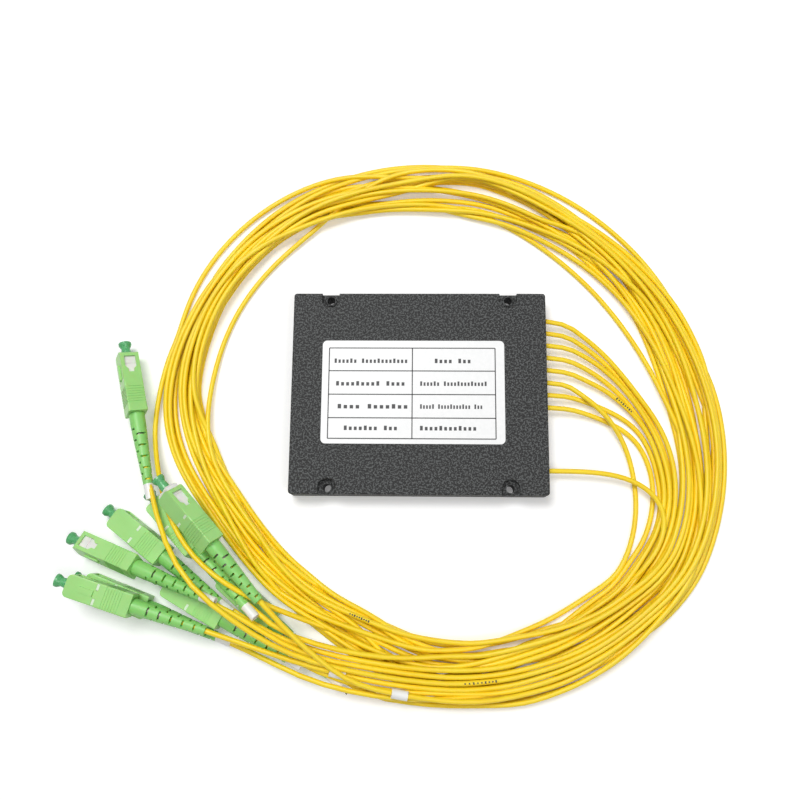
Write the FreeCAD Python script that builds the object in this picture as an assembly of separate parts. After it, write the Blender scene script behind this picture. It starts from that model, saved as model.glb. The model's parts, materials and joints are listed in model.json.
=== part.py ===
import FreeCAD, Part
import math
import os
from FreeCAD import Placement, Rotation, Vector

# PLC fibre splitter, one input to eight outputs, in a flat ABS case. Millimetres.
# The origin is the centre of the case's underside, +X is the side that the cords leave, +Z is up.
# Nine 2 mm cords leave the case, lie in one loose oval coil around it and end in SC connectors.

# --- Case ------------------------------------------------------------------------------------
case_length = 100.0
case_width = 80.0
base_height = 7.6
lid_thickness = 2.4
wall_thickness = 2.0
floor_thickness = 1.6
case_corner_radius = 1.2
base_foot_chamfer = 0.6
lid_edge_radius = 0.35
seam_chamfer = 0.15
lip_depth = 1.0
lip_width = 1.2
lip_clearance = 0.15

mount_end_inset = 14.7
mount_side_inset = 2.6
mount_hole_diameter = 3.2
notch_width = 6.8
boss_wall = 1.5
collar_wall = 0.7
collar_height = 0.5
collar_chamfer = 0.2

# --- Label on the lid ------------------------------------------------------------------------
label_length = 71.4
label_width = 41.0
label_thickness = 0.15
label_corner_radius = 1.8
label_centre_x = -2.3

# --- Cords and their outlets -----------------------------------------------------------------
cord_diameter = 2.0
cord_radius = cord_diameter / 2
outlet_height = 5.0
output_count = 8
outlet_pitch = 5.05
output_side_inset = 9.7
input_side_inset = 9.9
outlet_clearance = 0.1
comb_length = 6.0
comb_margin = 2.2
comb_top_gap = 0.1
comb_grip = 5.0
comb_clearance = 0.02

# --- Parts inside the case -------------------------------------------------------------------
device_length = 36.0
device_side = 4.0
device_corner_radius = 0.5
input_bend_gap = 0.2
cradle_wall = 1.2
cradle_length = 5.0
cradle_inset = 4.0
cradle_clearance = 0.05
inner_fibre_diameter = 0.9
ribbon_length = 4.0
ribbon_width = 3.2
ribbon_thickness = 0.4
fanout_length = 6.0
fanout_pitch = 1.2
fanout_thickness = 2.4

# --- Connector, in its own frame: +X runs from the front face to the boot ---------------------
grip_length = 25.5
grip_width = 9.0
grip_thickness = 7.4
grip_edge_radius = 0.6
grip_nose_radius = 1.8
grip_nose_length = 13.0
grip_nose_step = 0.2
grip_wall_width = 0.9
grip_wall_thickness = 0.9
grip_cavity_length = 18.6
grip_travel = 2.0
window_start = 2.1
window_wide_end = 6.6
window_taper_end = 7.6
window_end = 9.0
window_width = 4.4
window_neck_width = 2.2
key_start = 4.6
key_length = 6.4
key_width = 2.2
key_height = 0.6
mark_centre = 12.0
mark_length = 1.0
mark_width = 2.4
mark_offset = 2.8
groove_count = 7
groove_start = 15.2
groove_pitch = 1.05
groove_width = 0.5
groove_depth = 0.2

frame_clearance = 0.15
frame_start = 0.4
frame_end = 20.5
frame_nose_chamfer = 0.7
frame_front_bore = 4.6
frame_web_start = 7.9
frame_web_thickness = 1.0
frame_web_bore = 2.8
frame_rear_bore = 4.3
latch_line_start = 5.0
latch_line_width = 0.4
latch_line_depth = 0.25

ferrule_diameter = 2.5
ferrule_start = 0.6
ferrule_flange_diameter = 4.1
ferrule_flange_thickness = 1.4
ferrule_stem_end = 14.0
ferrule_stem_diameter = 2.4
spring_diameter = 4.0
spring_wire = 0.6
inner_gap = 0.1

crimp_start = 17.0
crimp_end = 38.0
crimp_diameter = 3.9
crimp_bore_clearance = 0.05

boot_start = 20.7
boot_collar_end = 30.5
boot_end = 54.5
boot_collar_diameter = 6.0
boot_tip_diameter = 3.7
boot_bore_clearance = 0.15
boot_running_clearance = 0.15
slot_rows = 10
slot_first = 31.8
slot_pitch = 2.28
slot_width = 0.75
slot_angle = 84.0

cap_flange_diameter = 5.0
cap_flange_thickness = 0.9
cap_neck_diameter = 3.4
cap_tube_diameter = 3.8
cap_reach = 5.0
cap_engagement = 7.5
cap_neck_length = 3.0
cap_bore_clearance = 0.03

tag_length = 6.0
tag_diameter = 3.6
tag_bore_clearance = 0.15

tail_start = 36.0
tail_straight_end = 64.0

# --- Where each connector lies ---------------------------------------------------------------
# front centre of the plug frame, heading, pitch and roll in degrees, rest position of the grip
connectors = {
    "a": (Vector(-117.5, 15.5, 5.8), -75.0, 6.0, 60.0, 0.0),
    "b": (Vector(-94.1, -39.1, 20.0), -48.0, 0.0, 223.0, grip_travel),
    "c": (Vector(-101.4, -43.5, 6.4), -45.0, 9.6, 180.0, 0.0),
    "d": (Vector(-117.5, -49.0, 4.4), -36.0, 7.6, 180.0, 0.0),
    "e": (Vector(-129.5, -59.0, 7.1), -21.0, 10.5, 70.0, 0.0),
    "f": (Vector(-130.5, -74.5, 12.9), -17.5, -1.0, 0.0, 0.0),
    "g": (Vector(-127.0, -74.0, 4.5), -21.0, -1.0, 180.0, 0.0),
    "h": (Vector(-96.0, -74.5, 4.2), -29.0, 3.0, 180.0, 0.0),
    "i": (Vector(-74.5, -71.5, 4.4), -40.5, 0.0, 180.0, 0.0),
}

# Which connector each cord ends in.
connector_of_cord = {"1": "g", "2": "i", "3": "f", "4": "h", "5": "a", "6": "c", "7": "e", "8": "d",
                     "in": "b"}

# --- Cord routes -----------------------------------------------------------------------------
coil_height = 6.0
coil_edge_radius = 1.8

# Each lead's route past its outlet, down to where it joins the coil.
lead_routes = {
    "1": [(70.0, 22.5, 4.8), (80.5, 10.5, 4.2), (89.0, -2.5, 3.6), (96.0, -16.0, 3.3),
          (100.0, -31.0, 3.3), (98.0, -46.5, 3.3), (92.5, -60.5, 3.3), (84.5, -73.5, 3.3)],
    "2": [(70.0, 17.7, 4.2), (80.0, 6.5, 2.8), (88.0, -6.0, 1.4), (94.8, -19.0, 1.1),
          (99.0, -33.5, 1.1), (97.5, -48.5, 1.1), (91.5, -62.0, 1.1), (83.5, -74.0, 1.1)],
    "3": [(70.0, 13.2, 4.8), (79.5, 2.5, 4.1), (86.8, -9.0, 3.4), (92.8, -21.5, 3.3),
          (97.0, -35.0, 3.3), (94.7, -48.6, 3.3), (88.6, -61.5, 3.3), (80.4, -73.0, 3.3)],
    "4": [(69.5, 8.7, 4.1), (79.0, -1.2, 2.7), (86.0, -12.5, 1.3), (91.6, -24.5, 1.1),
          (96.0, -38.0, 1.1), (93.6, -51.5, 1.1), (87.5, -63.5, 1.1), (79.5, -74.5, 1.1)],
    "5": [(69.0, 4.4, 3.8), (78.2, -5.0, 2.2), (84.8, -15.5, 1.1), (89.6, -27.0, 1.1),
          (93.2, -39.5, 1.1), (91.0, -51.8, 1.1), (84.2, -63.2, 1.1), (75.2, -75.3, 1.1)],
    "6": [(68.5, -2.4, 6.3), (77.0, -12.5, 5.9), (81.6, -24.0, 4.0), (84.4, -36.5, 1.8),
          (84.4, -49.0, 1.2), (78.1, -59.9, 1.2), (70.5, -69.8, 1.2), (61.2, -82.4, 1.2)],
    "7": [(68.5, -3.1, 3.6), (77.5, -9.6, 1.9), (83.8, -19.4, 1.1), (88.1, -30.8, 1.1),
          (90.6, -42.0, 1.1), (88.0, -52.5, 1.1), (81.6, -62.8, 1.1), (71.0, -77.5, 1.1)],
    "8": [(68.0, -7.4, 3.6), (76.2, -14.0, 1.9), (81.7, -22.8, 1.1), (85.8, -33.5, 1.1),
          (88.0, -43.4, 1.1), (85.9, -51.8, 1.1), (79.5, -61.5, 1.1), (72.2, -71.4, 1.1),
          (65.4, -80.8, 1.1)],
    "in": [(69.5, -30.6, 5.2), (82.0, -33.0, 5.3), (90.5, -41.5, 4.6), (89.7, -53.8, 3.4),
           (82.6, -64.8, 3.3), (73.6, -75.6, 3.3)],
}

# Each tail's route from behind its connector to where it joins the coil.
tail_routes = {
    "a": [(-86.0, -72.0, 23.0), (-63.0, -89.7, 19.8), (-43.5, -100.3, 13.5),
          (-17.0, -106.4, 8.8), (9.0, -109.5, 3.2)],
    "b": [(-33.0, -103.0, 14.0), (-20.0, -110.6, 10.6), (7.0, -115.2, 8.4), (26.0, -115.6, 3.4)],
    "c": [(-33.0, -97.0, 10.5), (-8.0, -100.8, 3.2)],
    "d": [(-41.0, -97.5, 9.0), (-15.0, -102.5, 5.5), (6.0, -104.6, 3.2)],
    "e": [(-44.5, -99.0, 11.0), (-17.0, -104.2, 7.0), (9.0, -107.2, 3.2)],
    "f": [(-43.0, -102.5, 10.5), (-16.0, -109.0, 8.0), (10.0, -111.7, 3.2)],
    "g": [(-39.0, -109.5, 8.0), (-11.0, -114.8, 6.0), (12.0, -114.9, 1.3)],
    "h": [(-12.0, -112.5, 6.8), (10.0, -112.6, 1.1)],
    "i": [(2.5, -117.5, 1.5), (21.0, -117.4, 1.5)],
}

# Number tags that have slid off the boot's end, to the middle of this run of the tail's route.
slid_tags = {"b": 1, "f": 0}

# One strand leaves the coil on the left, climbs over connector c and comes back below it.
stray_route = [(-103.0, 14.0, 2.2), (-107.3, 0.5, 2.2), (-108.0, -14.0, 2.6), (-103.5, -27.5, 6.0),
               (-98.0, -40.0, 11.4), (-92.0, -53.0, 14.8), (-82.5, -65.0, 17.4),
               (-69.5, -74.5, 18.4), (-55.5, -81.5, 14.5), (-41.0, -87.5, 6.5), (-26.5, -93.0, 2.4)]

# The coil's outer and inner outlines, seen from above.
coil_outer = [(2.0, 101.5), (34.0, 97.5), (64.0, 86.0), (91.5, 62.0), (112.0, 29.0), (121.5, -6.0),
              (121.5, -30.0), (115.5, -57.0), (101.0, -84.0), (77.0, -105.0), (50.0, -117.0),
              (26.0, -120.5), (5.0, -119.5), (-9.0, -115.0), (-20.0, -106.0), (-34.0, -95.5),
              (-60.5, -77.5), (-79.0, -55.0), (-96.0, -36.0), (-107.0, -18.0), (-107.5, 3.0),
              (-102.5, 24.0), (-91.5, 53.0), (-69.5, 79.0), (-34.0, 96.5)]
coil_inner = [(0.0, 78.0), (33.0, 72.0), (61.0, 53.5), (82.0, 28.5), (96.5, -2.0), (101.5, -22.0),
              (101.0, -41.0), (96.5, -57.0), (87.0, -67.5), (73.0, -74.5), (57.0, -84.5),
              (42.0, -91.5), (27.0, -93.5), (8.0, -92.5), (-14.0, -85.5), (-41.0, -70.0),
              (-65.0, -45.5), (-81.5, -14.0), (-84.0, 6.0), (-79.5, 26.5), (-71.0, 43.0),
              (-53.0, 62.5), (-29.0, 75.5)]


def vector(point):
    return Vector(*point)


def box(x0, x1, y0, y1, z0, z1):
    return Part.makeBox(x1 - x0, y1 - y0, z1 - z0, Vector(x0, y0, z0))


def rod(diameter, x0, x1, y=0.0, z=0.0):
    """A cylinder along +X."""
    return Part.makeCylinder(diameter / 2, x1 - x0, Vector(x0, y, z), Vector(1, 0, 0))


def rounded_block(x0, x1, width, thickness, radius):
    """A block along +X, centred on the X axis, with its four long edges rounded."""
    block = box(x0, x1, -width / 2, width / 2, -thickness / 2, thickness / 2)
    long_edges = [e for e in block.Edges if abs(e.BoundBox.XLength - (x1 - x0)) < 1e-6]
    return block.makeFillet(radius, long_edges)


def upright_edges(solid):
    return [e for e in solid.Edges if e.BoundBox.XLength < 1e-6 and e.BoundBox.YLength < 1e-6]


def edges_at_height(solid, height):
    return [e for e in solid.Edges
            if abs(e.BoundBox.ZMin - height) < 1e-6 and abs(e.BoundBox.ZMax - height) < 1e-6]


# --- Routes: straight runs joined by tangent arcs ---------------------------------------------
def corner(before, point, after):
    """The arc at one point of a route: its start, middle, end and radius."""
    back = (before - point).normalize()
    ahead = (after - point).normalize()
    reach = 0.45 * min((before - point).Length, (after - point).Length)
    half_turn = (math.pi - back.getAngle(ahead)) / 2
    radius = reach / math.tan(half_turn)
    inward = (back + ahead).normalize()
    middle = point + inward * (radius / math.cos(half_turn) - radius)
    return point + back * reach, middle, point + ahead * reach, radius


def rounded_outline(points):
    """A closed flat wire of arcs and short straights through the given corners."""
    count = len(points)
    corners = [corner(points[i - 1], points[i], points[(i + 1) % count]) for i in range(count)]
    edges = []
    for i, (start, middle, end, radius) in enumerate(corners):
        edges.append(Part.Arc(start, middle, end).toShape())
        edges.append(Part.LineSegment(end, corners[(i + 1) % count][0]).toShape())
    return Part.Wire(edges)


def route_wire(points, name):
    """An open wire along the points, and a printed line with its radii."""
    edges = []
    radii = []
    last = points[0]
    for i in range(1, len(points) - 1):
        start, middle, end, radius = corner(points[i - 1], points[i], points[i + 1])
        edges.append(Part.LineSegment(last, start).toShape())
        edges.append(Part.Arc(start, middle, end).toShape())
        radii.append(radius)
        last = end
    edges.append(Part.LineSegment(last, points[-1]).toShape())
    wire = Part.Wire(edges)
    print(f"{name}: length {wire.Length:.1f}, radii " + " ".join(f"{r:.0f}" for r in radii))
    return wire


def tube(points, diameter, name):
    """A solid round tube along a route."""
    wire = route_wire(points, name)
    profile = Part.Wire(Part.makeCircle(diameter / 2, points[0], points[1] - points[0]))
    solid = wire.makePipeShell([profile], True, False)
    expected = math.pi * diameter ** 2 / 4 * wire.Length
    if abs(solid.Volume / expected - 1) > 0.01 or not solid.isValid():
        raise ValueError(f"{name}: volume {solid.Volume:.1f} of {expected:.1f}")
    return solid


# --- Places shared by the case's parts --------------------------------------------------------
def mount_centres():
    x = case_length / 2 - mount_end_inset
    y = case_width / 2 - mount_side_inset
    return [(sx * x, sy * y) for sx in (-1, 1) for sy in (-1, 1)]


def output_positions():
    return [first_outlet_y - i * outlet_pitch for i in range(output_count)]


def outlet_positions():
    return output_positions() + [input_outlet_y]


inner_x = case_length / 2 - wall_thickness
inner_y = case_width / 2 - wall_thickness
first_outlet_y = case_width / 2 - output_side_inset
input_outlet_y = input_side_inset - case_width / 2
comb_start_x = inner_x - comb_length
cord_start_x = inner_x - comb_grip
fan_centre_y = first_outlet_y - (output_count - 1) * outlet_pitch / 2
input_bend_radius = (fan_centre_y - input_outlet_y) / 2
device_start_x = input_bend_radius + inner_fibre_diameter / 2 + input_bend_gap - inner_x
device_end_x = device_start_x + device_length
fanout_start_x = device_end_x + ribbon_length
fanout_end_x = fanout_start_x + fanout_length


# --- Case -------------------------------------------------------------------------------------
def case_block(z0, z1):
    block = box(-case_length / 2, case_length / 2, -case_width / 2, case_width / 2, z0, z1)
    return block.makeFillet(case_corner_radius, upright_edges(block))


def arch(x, y, radius, z0, z1):
    """A round pillar at (x, y), run out square to the nearest long side of the case."""
    pillar = Part.makeCylinder(radius, z1 - z0, Vector(x, y, z0))
    side = math.copysign(case_width / 2, y)
    return pillar.fuse(box(x - radius, x + radius, min(y, side), max(y, side), z0, z1))


def make_case_base():
    base = case_block(0, base_height)
    base = base.makeChamfer(base_foot_chamfer, edges_at_height(base, 0))
    pocket = box(-inner_x, inner_x, -inner_y, inner_y, floor_thickness, base_height)
    for x, y in mount_centres():
        pocket = pocket.cut(arch(x, y, notch_width / 2 + boss_wall, floor_thickness, base_height))
    base = base.cut(pocket)
    for x, y in mount_centres():
        collar_radius = mount_hole_diameter / 2 + collar_wall
        collar = Part.makeCylinder(collar_radius, collar_height, Vector(x, y, base_height))
        collar = collar.makeChamfer(collar_chamfer, edges_at_height(collar, base_height + collar_height))
        base = base.fuse(collar)
    drilled_height = base_height + collar_height
    holes = [Part.makeCylinder(mount_hole_diameter / 2, drilled_height, Vector(x, y, 0))
             for x, y in mount_centres()]
    outlet_diameter = cord_diameter + 2 * outlet_clearance
    outlets = [rod(outlet_diameter, inner_x, case_length / 2, y, outlet_height)
               for y in outlet_positions()]
    return base.cut(Part.makeCompound(holes + outlets))


def make_case_lid():
    top = base_height + lid_thickness
    lid = case_block(base_height, top)
    lid = lid.makeChamfer(seam_chamfer, edges_at_height(lid, base_height))
    lid = lid.cut(Part.makeCompound([arch(x, y, notch_width / 2, base_height, top)
                                     for x, y in mount_centres()]))
    lid = lid.makeFillet(lid_edge_radius, edges_at_height(lid, top))
    lip_x = inner_x - lip_clearance
    lip_y = inner_y - lip_clearance
    lip_bottom = base_height - lip_depth
    lip = box(-lip_x, lip_x, -lip_y, lip_y, lip_bottom, base_height)
    lip = lip.cut(box(-lip_x + lip_width, lip_x - lip_width, -lip_y + lip_width, lip_y - lip_width,
                      lip_bottom, base_height))
    boss_radius = notch_width / 2 + boss_wall + lip_clearance
    for x, y in mount_centres():
        lip = lip.cut(arch(x, y, boss_radius, lip_bottom, base_height))
    return lid.fuse(lip)


def make_label():
    top = base_height + lid_thickness
    label = box(label_centre_x - label_length / 2, label_centre_x + label_length / 2,
                -label_width / 2, label_width / 2, top, top + label_thickness)
    return label.makeFillet(label_corner_radius, upright_edges(label))


def make_outlet_comb():
    """Two blocks behind the outlets that clamp the cords and pass on the bare fibres."""
    top = base_height - lip_depth - comb_top_gap
    blocks = []
    for ys in (output_positions(), [input_outlet_y]):
        block = box(comb_start_x, inner_x, min(ys) - comb_margin, max(ys) + comb_margin,
                    floor_thickness, top)
        for y in ys:
            block = block.cut(rod(cord_diameter + 2 * comb_clearance, cord_start_x, inner_x,
                                  y, outlet_height))
            block = block.cut(rod(inner_fibre_diameter + 2 * comb_clearance, comb_start_x,
                                  cord_start_x, y, outlet_height))
        blocks.append(block)
    return Part.makeCompound(blocks)


def make_splitter_device():
    device = rounded_block(device_start_x, device_end_x, device_side, device_side,
                           device_corner_radius)
    return device.translated(Vector(0, fan_centre_y, outlet_height))


def make_device_cradle():
    """Two saddles on the case floor that carry the device."""
    inside = device_side / 2 + cradle_clearance
    outside = inside + cradle_wall
    seat = outlet_height - device_side / 2
    saddles = []
    for x in (device_start_x + cradle_inset, device_end_x - cradle_inset - cradle_length):
        saddle = box(x, x + cradle_length, fan_centre_y - outside, fan_centre_y + outside,
                     floor_thickness, outlet_height)
        slot = box(x, x + cradle_length, fan_centre_y - inside, fan_centre_y + inside,
                   seat, outlet_height)
        saddles.append(saddle.cut(slot))
    return Part.makeCompound(saddles)


def make_output_ribbon():
    return box(device_end_x, fanout_start_x, fan_centre_y - ribbon_width / 2,
               fan_centre_y + ribbon_width / 2, outlet_height - ribbon_thickness / 2,
               outlet_height + ribbon_thickness / 2)


def make_fanout_block():
    width = output_count * fanout_pitch + fanout_pitch
    block = rounded_block(fanout_start_x, fanout_end_x, width, fanout_thickness,
                          fanout_thickness / 5)
    return block.translated(Vector(0, fan_centre_y, outlet_height))


def make_output_fibres():
    """Eight bare fibres that spread from the fan-out block to the comb."""
    run = (cord_start_x - fanout_end_x) / 4
    fibres = []
    for i, y in enumerate(output_positions()):
        start_y = fan_centre_y + ((output_count - 1) / 2 - i) * fanout_pitch
        points = [Vector(fanout_end_x, start_y, outlet_height),
                  Vector(fanout_end_x + run, start_y, outlet_height),
                  Vector(cord_start_x - run, y, outlet_height),
                  Vector(cord_start_x, y, outlet_height)]
        fibres.append(tube(points, inner_fibre_diameter, f"output fibre {i + 1}"))
    return Part.makeCompound(fibres)


def make_input_fibre():
    """The bare input fibre: along the case, round its far end and back into the device."""
    centre_y = (fan_centre_y + input_outlet_y) / 2
    near = Vector(cord_start_x, input_outlet_y, outlet_height)
    bend_start = Vector(device_start_x, input_outlet_y, outlet_height)
    bend_middle = Vector(device_start_x - input_bend_radius, centre_y, outlet_height)
    bend_end = Vector(device_start_x, fan_centre_y, outlet_height)
    wire = Part.Wire([Part.LineSegment(near, bend_start).toShape(),
                      Part.Arc(bend_start, bend_middle, bend_end).toShape()])
    profile = Part.Wire(Part.makeCircle(inner_fibre_diameter / 2, near, Vector(-1, 0, 0)))
    return wire.makePipeShell([profile], True, False)


# --- Connector parts, each built once in the connector's own frame ------------------------------
cavity_width = grip_width - 2 * grip_wall_width
cavity_thickness = grip_thickness - 2 * grip_wall_thickness


def window_prism():
    """The stepped latch window, cut through both narrow sides of the grip."""
    wide = window_width / 2
    neck = window_neck_width / 2
    outline = [(window_start, wide), (window_wide_end, wide), (window_taper_end, neck),
               (window_end, neck), (window_end, -neck), (window_taper_end, -neck),
               (window_wide_end, -wide), (window_start, -wide)]
    points = [Vector(x, -grip_width, z) for x, z in outline]
    return Part.Face(Part.makePolygon(points + points[:1])).extrude(Vector(0, 2 * grip_width, 0))


def make_grip():
    grip = rounded_block(0, grip_length, grip_width, grip_thickness, grip_edge_radius)
    step = grip_width / 2 - grip_nose_step
    sides = [box(0, grip_nose_length, min(s * step, s * grip_width), max(s * step, s * grip_width),
                 -grip_thickness, grip_thickness) for s in (-1, 1)]
    nose_corners = []
    for s in (-1, 1):
        square = box(0, grip_nose_radius, min(s * step, s * (step - grip_nose_radius)),
                     max(s * step, s * (step - grip_nose_radius)), -grip_thickness, grip_thickness)
        round_part = Part.makeCylinder(grip_nose_radius, 2 * grip_thickness,
                                       Vector(grip_nose_radius, s * (step - grip_nose_radius),
                                              -grip_thickness))
        nose_corners.append(square.cut(round_part))
    cavity = box(0, grip_cavity_length, -cavity_width / 2, cavity_width / 2,
                 -cavity_thickness / 2, cavity_thickness / 2)
    rear_bore = rod(boot_collar_diameter + 2 * boot_running_clearance, grip_cavity_length, grip_length)
    marks = [box(mark_centre - mark_length / 2, mark_centre + mark_length / 2,
                 s * mark_offset - mark_width / 2, s * mark_offset + mark_width / 2,
                 -grip_thickness, grip_thickness) for s in (-1, 1)]
    grip = grip.cut(Part.makeCompound(sides + nose_corners))
    grip = grip.cut(cavity).cut(rear_bore).cut(window_prism()).cut(Part.makeCompound(marks))
    grip = grip.cut(Part.makeCompound([grip_groove(i) for i in range(groove_count)]))
    return grip.fuse(make_key())


def grip_groove(index):
    """One shallow finger groove all round the rear half of the grip."""
    x0 = groove_start + index * groove_pitch
    outer = box(x0, x0 + groove_width, -grip_width, grip_width, -grip_thickness, grip_thickness)
    half_width = grip_width / 2 - groove_depth
    half_thickness = grip_thickness / 2 - groove_depth
    return outer.cut(box(x0, x0 + groove_width, -half_width, half_width,
                         -half_thickness, half_thickness))


def make_key():
    """The raised key on one wide side, with a round front end."""
    bottom = grip_thickness / 2 - grip_wall_thickness / 2
    height = grip_thickness / 2 + key_height - bottom
    front = key_start + key_width / 2
    key = box(front, key_start + key_length, -key_width / 2, key_width / 2, bottom, bottom + height)
    return key.fuse(Part.makeCylinder(key_width / 2, height, Vector(front, 0, bottom)))


def make_plug_frame():
    width = cavity_width - 2 * frame_clearance
    thickness = cavity_thickness - 2 * frame_clearance
    frame = box(frame_start, grip_cavity_length - grip_travel, -width / 2, width / 2,
                -thickness / 2, thickness / 2)
    front = [e for e in frame.Edges if abs(e.BoundBox.XMax - frame_start) < 1e-6]
    frame = frame.makeChamfer(frame_nose_chamfer, front)
    frame = frame.fuse(rod(thickness, grip_cavity_length - grip_travel, frame_end))
    web_end = frame_web_start + frame_web_thickness
    frame = frame.cut(rod(frame_front_bore, frame_start, frame_web_start))
    frame = frame.cut(rod(frame_web_bore, frame_web_start, web_end))
    frame = frame.cut(rod(frame_rear_bore, web_end, frame_end))
    for s in (-1, 1):
        y = s * (width / 2 - latch_line_depth / 2)
        frame = frame.cut(box(latch_line_start, latch_line_start + latch_line_width,
                              y - latch_line_depth / 2, y + latch_line_depth / 2,
                              -thickness / 2, thickness / 2))
    return frame


def make_ferrule():
    flange_start = frame_web_start + frame_web_thickness
    flange_end = flange_start + ferrule_flange_thickness
    ferrule = rod(ferrule_diameter, ferrule_start, flange_start)
    ferrule = ferrule.fuse(rod(ferrule_flange_diameter, flange_start, flange_end))
    return ferrule.fuse(rod(ferrule_stem_diameter, flange_end, ferrule_stem_end))


def make_ferrule_spring():
    """The spring between the ferrule's flange and the crimp sleeve, as a plain sleeve."""
    start = frame_web_start + frame_web_thickness + ferrule_flange_thickness
    bore = spring_diameter - 2 * spring_wire
    return rod(spring_diameter, start, crimp_start).cut(rod(bore, start, crimp_start))


def make_crimp_sleeve():
    bore = cord_diameter + 2 * crimp_bore_clearance
    return rod(crimp_diameter, crimp_start, crimp_end).cut(rod(bore, crimp_start, crimp_end))


def make_boot():
    """The slotted strain relief: a smooth collar, then a taper cut by staggered pairs of slots."""
    collar = boot_collar_diameter / 2
    tip = boot_tip_diameter / 2
    bore = cord_radius + boot_bore_clearance
    socket = crimp_diameter / 2 + inner_gap
    outline = [(boot_start, socket), (boot_start, collar), (boot_collar_end, collar),
               (boot_end, tip), (boot_end, bore), (crimp_end + inner_gap, bore),
               (crimp_end + inner_gap, socket)]
    points = [Vector(x, r, 0) for x, r in outline]
    boot = Part.Face(Part.makePolygon(points + points[:1])).revolve(Vector(), Vector(1, 0, 0), 360)
    slots = []
    for row in range(slot_rows):
        x = slot_first + row * slot_pitch
        for side in (0, 180):
            middle = side + 90 * (row % 2)
            wedge = Part.makeCylinder(boot_collar_diameter, slot_width, Vector(x, 0, 0),
                                      Vector(1, 0, 0), slot_angle)
            wedge.rotate(Vector(), Vector(1, 0, 0), middle - slot_angle / 2)
            slots.append(wedge)
    cutters = Part.makeCompound(slots)
    core = rod(2 * bore, slot_first - slot_width, boot_end)
    return boot.cut(cutters.cut(core))


def make_dust_cap():
    """A closed tube over the ferrule, with a waisted neck and a flange to pull it by."""
    neck = cap_neck_diameter / 2
    shell = cap_tube_diameter / 2
    flange = cap_flange_diameter / 2
    bore = ferrule_diameter / 2 + cap_bore_clearance
    neck_start = -cap_reach + cap_flange_thickness
    bottom = ferrule_start - inner_gap
    outline = [(-cap_reach, 0), (-cap_reach, flange), (neck_start, flange),
               (neck_start + cap_neck_length / 2, neck), (neck_start + cap_neck_length, shell),
               (cap_engagement, shell), (cap_engagement, bore), (bottom, bore), (bottom, 0)]
    points = [Vector(x, r, 0) for x, r in outline]
    return Part.Face(Part.makePolygon(points + points[:1])).revolve(Vector(), Vector(1, 0, 0), 360)


def make_number_tag():
    bore = cord_diameter + 2 * tag_bore_clearance
    reach = tag_length / 2
    return rod(tag_diameter, -reach, reach).cut(rod(bore, -reach, reach))


# --- Placing the connectors and their cords ---------------------------------------------------
def connector_placement(key, slide=0.0):
    front, heading, pitch, roll, grip_rest = connectors[key]
    turn = Rotation(Vector(0, 0, 1), heading)
    turn = turn.multiply(Rotation(Vector(0, 1, 0), -pitch))
    turn = turn.multiply(Rotation(Vector(1, 0, 0), roll))
    return Placement(front + turn.multVec(Vector(slide, 0, 0)), turn)


def placed(shape, key, slide=0.0):
    copy = shape.copy()
    copy.Placement = connector_placement(key, slide)
    return copy


def placed_tag(tag, key):
    """Against the boot's end, or round the middle of a run of the tail where it has slid."""
    if key not in slid_tags:
        return placed(tag, key, boot_end + tag_length / 2)
    run = slid_tags[key]
    start, end = [vector(p) for p in tail_routes[key][run:run + 2]]
    copy = tag.copy()
    copy.Placement = Placement((start + end) / 2, Rotation(Vector(1, 0, 0), end - start))
    return copy


def on_axis(key, distance):
    return connector_placement(key, distance).Base


def lead_points(cord):
    """From inside the comb, straight through the outlet, then along the lead's route."""
    y = input_outlet_y if cord == "in" else output_positions()[int(cord) - 1]
    straight = [(cord_start_x, y, outlet_height), (case_length / 2 + 6.5, y, outlet_height)]
    return [vector(p) for p in straight + lead_routes[cord]]


def tail_points(key):
    straight = [on_axis(key, tail_start), on_axis(key, tail_straight_end)]
    return straight + [vector(p) for p in tail_routes[key]]


def make_coil():
    """The outer shape of the coil: a flat oval ring with rounded edges."""
    outer, inner = [Part.Face(rounded_outline([Vector(x, y, 0) for x, y in outline]))
                    .extrude(Vector(0, 0, coil_height)) for outline in (coil_outer, coil_inner)]
    ring = outer.cut(inner)
    return ring.makeFillet(coil_edge_radius, edges_at_height(ring, coil_height))


def export(shape, node):
    if not shape.isValid():
        raise ValueError(f"{node} is not a valid shape")
    shape.exportStep(f"parts/{node}.step")


def main():
    os.makedirs("parts", exist_ok=True)
    export(make_case_base(), "case_base")
    export(make_case_lid(), "case_lid")
    export(make_label(), "spec_label")
    export(make_outlet_comb(), "outlet_comb")
    export(make_splitter_device(), "splitter_device")
    export(make_device_cradle(), "device_cradle")
    export(make_output_ribbon(), "output_ribbon")
    export(make_fanout_block(), "fanout_block")
    export(make_output_fibres(), "output_fibres")
    export(make_input_fibre(), "input_fibre")

    grip = make_grip()
    frame = make_plug_frame()
    boot = make_boot()
    cap = make_dust_cap()
    for key in connectors:
        export(placed(grip, key, connectors[key][4]), f"grip_{key}")
        export(placed(frame, key), f"plug_frame_{key}")
        export(placed(boot, key), f"boot_{key}")
        export(placed(cap, key), f"dust_cap_{key}")
    repeated = {"ferrules": make_ferrule(), "ferrule_springs": make_ferrule_spring(),
                "crimp_sleeves": make_crimp_sleeve()}
    for node, shape in repeated.items():
        export(Part.makeCompound([placed(shape, key) for key in connectors]), node)
    tag = make_number_tag()
    export(Part.makeCompound([placed_tag(tag, key) for key in connectors]), "number_tags")

    for cord, key in connector_of_cord.items():
        solids = [tube(lead_points(cord), cord_diameter, f"lead {cord}"),
                  tube(tail_points(key), cord_diameter, f"tail {key}")]
        if cord == "in":
            solids.append(tube([vector(p) for p in stray_route], cord_diameter, "stray strand"))
        export(Part.makeCompound(solids), f"fibre_{cord}")
    export(make_coil(), "fibre_coil")


main()
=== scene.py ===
import json
import math

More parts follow.
